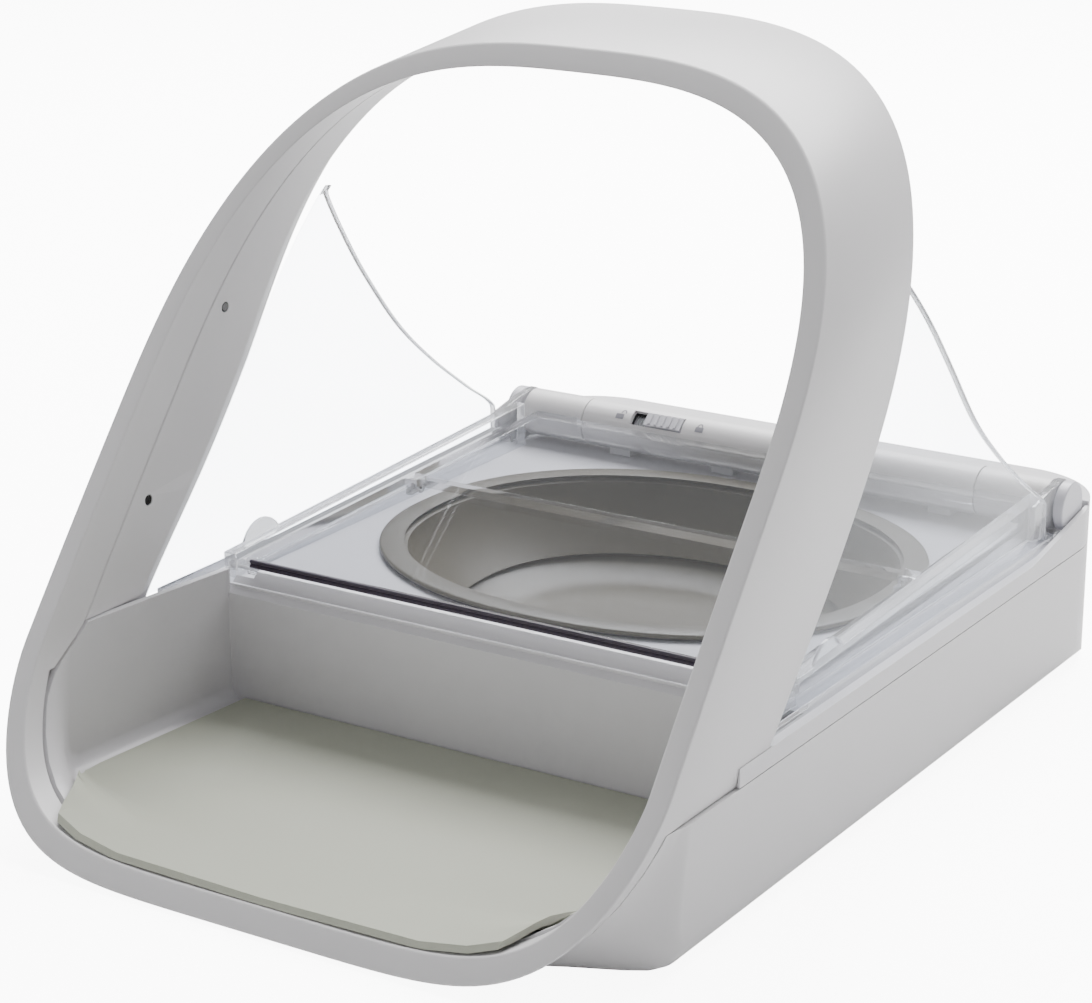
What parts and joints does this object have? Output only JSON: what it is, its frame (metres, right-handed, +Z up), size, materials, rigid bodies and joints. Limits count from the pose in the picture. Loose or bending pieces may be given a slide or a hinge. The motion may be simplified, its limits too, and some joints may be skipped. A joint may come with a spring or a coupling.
{
  "type": "automatic pet feeder",
  "caption": "Covered pet feeder with a sensor hoop over a food tray, a folding clear motorised lid over a bowl, clear side screens and battery bays in the base",
  "frame": {"origin": "on the floor under the middle of the body", "axes": "+X to the pet's right as it faces the bowl, +Y from the hoop towards the hinge at the back, +Z up"},
  "size_m": [0.212, 0.3244, 0.2142],
  "materials": {
    "white_abs": "fine spark-eroded satin",
    "grey_abs": "satin",
    "silicone_mat": "matt silicone",
    "bowl_plastic": "polished",
    "seal_rubber": "matt",
    "foot_rubber": "matt",
    "clear_plastic": "clear polished",
    "black_plastic": "gloss",
    "circuit_board": "solder mask",
    "light_pipe": "clear diffusing",
    "steel": "turned",
    "copper_wire": "enamelled winding",
    "spring_brass": "stamped",
    "cell_jacket": "printed steel jacket"
  },
  "bodies": {
    "base": {"hoop_shell": "white_abs", "hoop_inner_cover": "white_abs", "base_lower_shell": "white_abs", "hinge_barrel_housing": "white_abs", "hinge_end_cap_left": "white_abs", "hinge_end_cap_right": "white_abs", "base_upper_shell": "white_abs", "shaft_bush": "grey_abs", "bowl": "bowl_plastic", "bowl_gasket": "seal_rubber", "foot_front_left": "foot_rubber", "foot_front_right": "foot_rubber", "foot_rear_left": "foot_rubber", "foot_rear_right": "foot_rubber", "lid_rail_left": "clear_plastic", "lid_rail_right": "clear_plastic", "side_screen_left": "clear_plastic", "side_screen_right": "clear_plastic", "sensor_window_upper_left": "black_plastic", "sensor_window_upper_right": "black_plastic", "sensor_window_lower_left": "black_plastic", "sensor_window_lower_right": "black_plastic", "sounder": "black_plastic", "sensor_board_left": "circuit_board", "sensor_board_right": "circuit_board", "main_board": "circuit_board", "button_board": "circuit_board", "status_light_pipe": "light_pipe", "hinge_motor": "steel", "motor_gearbox": "steel", "case_screw_front_left": "steel", "case_screw_front_right": "steel", "case_screw_rear_left": "steel", "case_screw_rear_right": "steel", "antenna_coil": "copper_wire", "battery_contact_front_left": "spring_brass", "battery_contact_front_right": "spring_brass", "battery_contact_rear_left": "spring_brass", "battery_contact_rear_right": "spring_brass", "battery_cell_inner_left": "cell_jacket", "battery_cell_inner_right": "cell_jacket", "battery_cell_outer_left": "cell_jacket", "battery_cell_outer_right": "cell_jacket"},
    "lid_rear": {"lid_rear_panel": "clear_plastic", "hinge_sleeve_left": "white_abs", "hinge_sleeve_right": "white_abs", "hinge_shaft_left": "steel", "hinge_shaft_right": "steel", "fold_hinge_pin_left": "steel", "fold_hinge_pin_right": "steel"},
    "lid_front": {"lid_front_panel": "clear_plastic", "lid_front_seal": "seal_rubber", "guide_pin_left": "clear_plastic", "guide_pin_right": "clear_plastic"},
    "mat": {"tray_mat": "silicone_mat"},
    "lock": {"lock_slider": "white_abs"},
    "add_pet": {"add_pet_button": "grey_abs"},
    "open_close": {"open_close_button": "grey_abs"},
    "door_left": {"battery_door_left": "white_abs"},
    "door_right": {"battery_door_right": "white_abs"}
  },
  "joints": [
    {"name": "lid_rear_hinge", "type": "hinge", "parent": "base", "child": "lid_rear", "pos_m": [0, 0.129, 0.0555], "axis": [-1, 0, 0], "range_deg": [0, 80]},
    {"name": "lid_fold_hinge", "type": "hinge", "parent": "lid_rear", "child": "lid_front", "pos_m": [0, 0.044, 0.05275], "axis": [-1, 0, 0], "range_deg": [-160, 0]},
    {"name": "mat_lift", "type": "slide", "parent": "base", "child": "mat", "axis": [0, 0, 1], "range_m": [0, 0.02]},
    {"name": "lock_slide", "type": "slide", "parent": "base", "child": "lock", "axis": [-1, 0, 0], "range_m": [0, 0.005]},
    {"name": "add_pet_press", "type": "slide", "parent": "base", "child": "add_pet", "axis": [0, -1, 0], "range_m": [0, 0.0012], "stiffness_N_per_m": 600},
    {"name": "open_close_press", "type": "slide", "parent": "base", "child": "open_close", "axis": [0, -1, 0], "range_m": [0, 0.0012], "stiffness_N_per_m": 600},
    {"name": "battery_door_slide_left", "type": "slide", "parent": "base", "child": "door_left", "axis": [0, -1, 0], "range_m": [0, 0.008]},
    {"name": "battery_door_slide_right", "type": "slide", "parent": "base", "child": "door_right", "axis": [0, -1, 0], "range_m": [0, 0.008]}
  ],
  "couplings": [
    {"joint": "lid_fold_hinge", "follows": "lid_rear_hinge", "ratio": -2}
  ]
}
